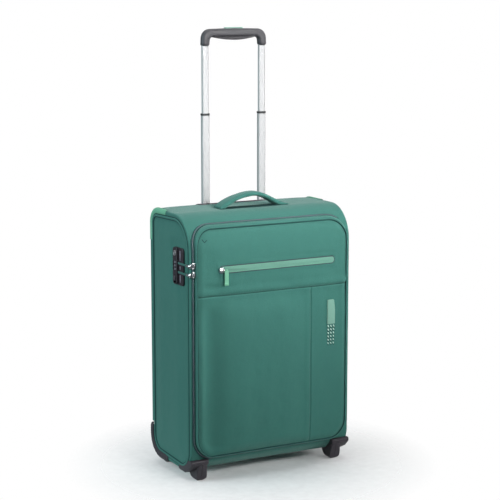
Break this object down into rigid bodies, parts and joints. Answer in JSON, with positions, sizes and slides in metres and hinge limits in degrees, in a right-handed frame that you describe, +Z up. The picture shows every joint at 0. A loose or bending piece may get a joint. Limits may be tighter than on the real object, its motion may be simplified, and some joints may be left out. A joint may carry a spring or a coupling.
{
  "type": "soft cabin suitcase on two wheels",
  "caption": "Soft upright cabin trolley with a zipped front lid, side combination lock, top carry handle and a two-stage tow handle, drawn out.",
  "frame": {"origin": "on the floor under the middle of the case", "axes": "+X to the right seen from the front, +Y from the zipped front to the tow handle, +Z up"},
  "size_m": [0.3863, 0.2116, 0.9196],
  "materials": {
    "green_fabric": "woven polyester with a slight sheen",
    "mint_trim": "coated trim with a satin surface",
    "grey_lining": "thin smooth lining",
    "zip_tape": "woven tape with a plastic coil",
    "dark_plastic": "fine moulded grain",
    "lock_plastic": "satin moulding",
    "grip_plastic": "fine moulded grain",
    "mint_plastic": "satin moulding",
    "dial_plastic": "smooth moulding",
    "aluminium_tube": "bright anodised",
    "spring_steel": "plain",
    "zip_metal": "nickel plated",
    "wheel_rubber": "matt"
  },
  "bodies": {
    "case": {"case_gusset": "green_fabric", "side_panel_left": "green_fabric", "side_panel_right": "green_fabric", "opening_frame": "spring_steel", "hinge_strip": "green_fabric", "zip_tape_case": "zip_tape", "carry_handle": "green_fabric", "axle_left": "spring_steel", "axle_right": "spring_steel", "wheel_housing_left": "dark_plastic", "wheel_housing_right": "dark_plastic", "corner_guard_left": "dark_plastic", "corner_guard_right": "dark_plastic", "foot_left": "dark_plastic", "foot_right": "dark_plastic", "guide_tube_left": "aluminium_tube", "guide_tube_right": "aluminium_tube", "guide_base": "dark_plastic", "handle_bezel": "dark_plastic", "lock_housing": "lock_plastic", "dial_shaft": "spring_steel"},
    "lid": {"lid_shell": "green_fabric", "lid_board": "grey_lining", "zip_tape_lid": "zip_tape", "pocket_zip_tape": "mint_trim", "badge_plate": "mint_trim"},
    "pocket_zip": {"pocket_slider": "zip_metal"},
    "pocket_zip_pull": {"pocket_pull": "mint_trim"},
    "main_zip_upper": {"main_slider_upper": "zip_metal"},
    "main_zip_upper_pull": {"main_pull_upper": "zip_metal"},
    "main_zip_lower": {"main_slider_lower": "zip_metal"},
    "main_zip_lower_pull": {"main_pull_lower": "zip_metal"},
    "dial_1": {"lock_dial_1": "dial_plastic"},
    "dial_2": {"lock_dial_2": "dial_plastic"},
    "dial_3": {"lock_dial_3": "dial_plastic"},
    "key_cylinder": {"lock_key_cylinder": "zip_metal"},
    "release": {"lock_release": "dial_plastic"},
    "wheel_left": {"tyre_left": "wheel_rubber", "hub_left": "dark_plastic"},
    "wheel_right": {"tyre_right": "wheel_rubber", "hub_right": "dark_plastic"},
    "handle_lower": {"lower_tube_left": "aluminium_tube", "lower_tube_right": "aluminium_tube", "collar_left": "dark_plastic", "collar_right": "dark_plastic", "lower_latch_left": "dark_plastic", "lower_latch_right": "dark_plastic"},
    "handle_upper": {"upper_tube_left": "aluminium_tube", "upper_tube_right": "aluminium_tube", "upper_latch_left": "dark_plastic", "upper_latch_right": "dark_plastic", "grip_shell": "grip_plastic", "grip_insert": "dark_plastic"},
    "button": {"release_button": "mint_plastic", "push_rod_frame": "spring_steel"},
    "pin_lower_left": {"lower_pin_left": "spring_steel"},
    "pin_lower_right": {"lower_pin_right": "spring_steel"},
    "pin_upper_left": {"upper_pin_left": "spring_steel"},
    "pin_upper_right": {"upper_pin_right": "spring_steel"}
  },
  "joints": [
    {"name": "lid_hinge", "type": "hinge", "parent": "case", "child": "lid", "pos_m": [0.1885, -0.0905, 0.29], "axis": [0, 0, 1], "range_deg": [0, 175]},
    {"name": "pocket_zip_slide", "type": "slide", "parent": "lid", "child": "pocket_zip", "axis": [1, 0, 0], "range_m": [0, 0.245]},
    {"name": "pocket_pull_hinge", "type": "hinge", "parent": "pocket_zip", "child": "pocket_zip_pull", "pos_m": [-0.113, -0.1046, 0.4416], "axis": [1, 0, 0], "range_deg": [-150, 0]},
    {"name": "main_zip_upper_slide", "type": "slide", "parent": "case", "child": "main_zip_upper", "axis": [0, 0, 1], "range_m": [0, 0.02]},
    {"name": "main_pull_upper_hinge", "type": "hinge", "parent": "main_zip_upper", "child": "main_zip_upper_pull", "pos_m": [-0.19, -0.094, 0.4535], "axis": [0, 0, 1], "range_deg": [0, 120]},
    {"name": "main_zip_lower_slide", "type": "slide", "parent": "case", "child": "main_zip_lower", "axis": [0, 0, 1], "range_m": [-0.335, 0]},
    {"name": "main_pull_lower_hinge", "type": "hinge", "parent": "main_zip_lower", "child": "main_zip_lower_pull", "pos_m": [-0.19, -0.094, 0.435], "axis": [0, 0, 1], "range_deg": [0, 120]},
    {"name": "dial_1_spin", "type": "hinge", "parent": "case", "child": "dial_1", "pos_m": [-0.1887, -0.0335, 0.44], "axis": [0, 0, 1], "continuous": true},
    {"name": "dial_2_spin", "type": "hinge", "parent": "case", "child": "dial_2", "pos_m": [-0.1887, -0.0335, 0.447], "axis": [0, 0, 1], "continuous": true},
    {"name": "dial_3_spin", "type": "hinge", "parent": "case", "child": "dial_3", "pos_m": [-0.1887, -0.0335, 0.454], "axis": [0, 0, 1], "continuous": true},
    {"name": "key_turn", "type": "hinge", "parent": "case", "child": "key_cylinder", "pos_m": [-0.1943, -0.0335, 0.4725], "axis": [-1, 0, 0], "range_deg": [0, 90]},
    {"name": "release_slide", "type": "slide", "parent": "case", "child": "release", "axis": [0, 0, -1], "range_m": [0, 0.0038], "stiffness_N_per_m": 200, "springref_m": -0.002},
    {"name": "wheel_left_spin", "type": "hinge", "parent": "case", "child": "wheel_left", "pos_m": [-0.16, 0.075, 0.03], "axis": [1, 0, 0], "continuous": true},
    {"name": "wheel_right_spin", "type": "hinge", "parent": "case", "child": "wheel_right", "pos_m": [0.16, 0.075, 0.03], "axis": [1, 0, 0], "continuous": true},
    {"name": "handle_lower_slide", "type": "slide", "parent": "case", "child": "handle_lower", "axis": [0, 0, 1], "range_m": [-0.2232, 0]},
    {"name": "handle_upper_slide", "type": "slide", "parent": "handle_lower", "child": "handle_upper", "axis": [0, 0, 1], "range_m": [-0.139, 0]},
    {"name": "release_button_press", "type": "slide", "parent": "handle_upper", "child": "button", "axis": [0, 0, -1], "range_m": [0, 0.003], "stiffness_N_per_m": 600, "springref_m": -0.002},
    {"name": "pin_upper_left_slide", "type": "slide", "parent": "handle_upper", "child": "pin_upper_left", "axis": [-1, 0, 0], "range_m": [0, 0.0024]},
    {"name": "pin_upper_right_slide", "type": "slide", "parent": "handle_upper", "child": "pin_upper_right", "axis": [1, 0, 0], "range_m": [0, 0.0024]},
    {"name": "pin_lower_left_slide", "type": "slide", "parent": "handle_lower", "child": "pin_lower_left", "axis": [-1, 0, 0], "range_m": [0, 0.0024], "stiffness_N_per_m": 200, "springref_m": -0.002},
    {"name": "pin_lower_right_slide", "type": "slide", "parent": "handle_lower", "child": "pin_lower_right", "axis": [1, 0, 0], "range_m": [0, 0.0024], "stiffness_N_per_m": 200, "springref_m": -0.002}
  ],
  "couplings": [
    {"joint": "pin_upper_left_slide", "follows": "release_button_press", "ratio": 0.8},
    {"joint": "pin_upper_right_slide", "follows": "release_button_press", "ratio": 0.8}
  ]
}
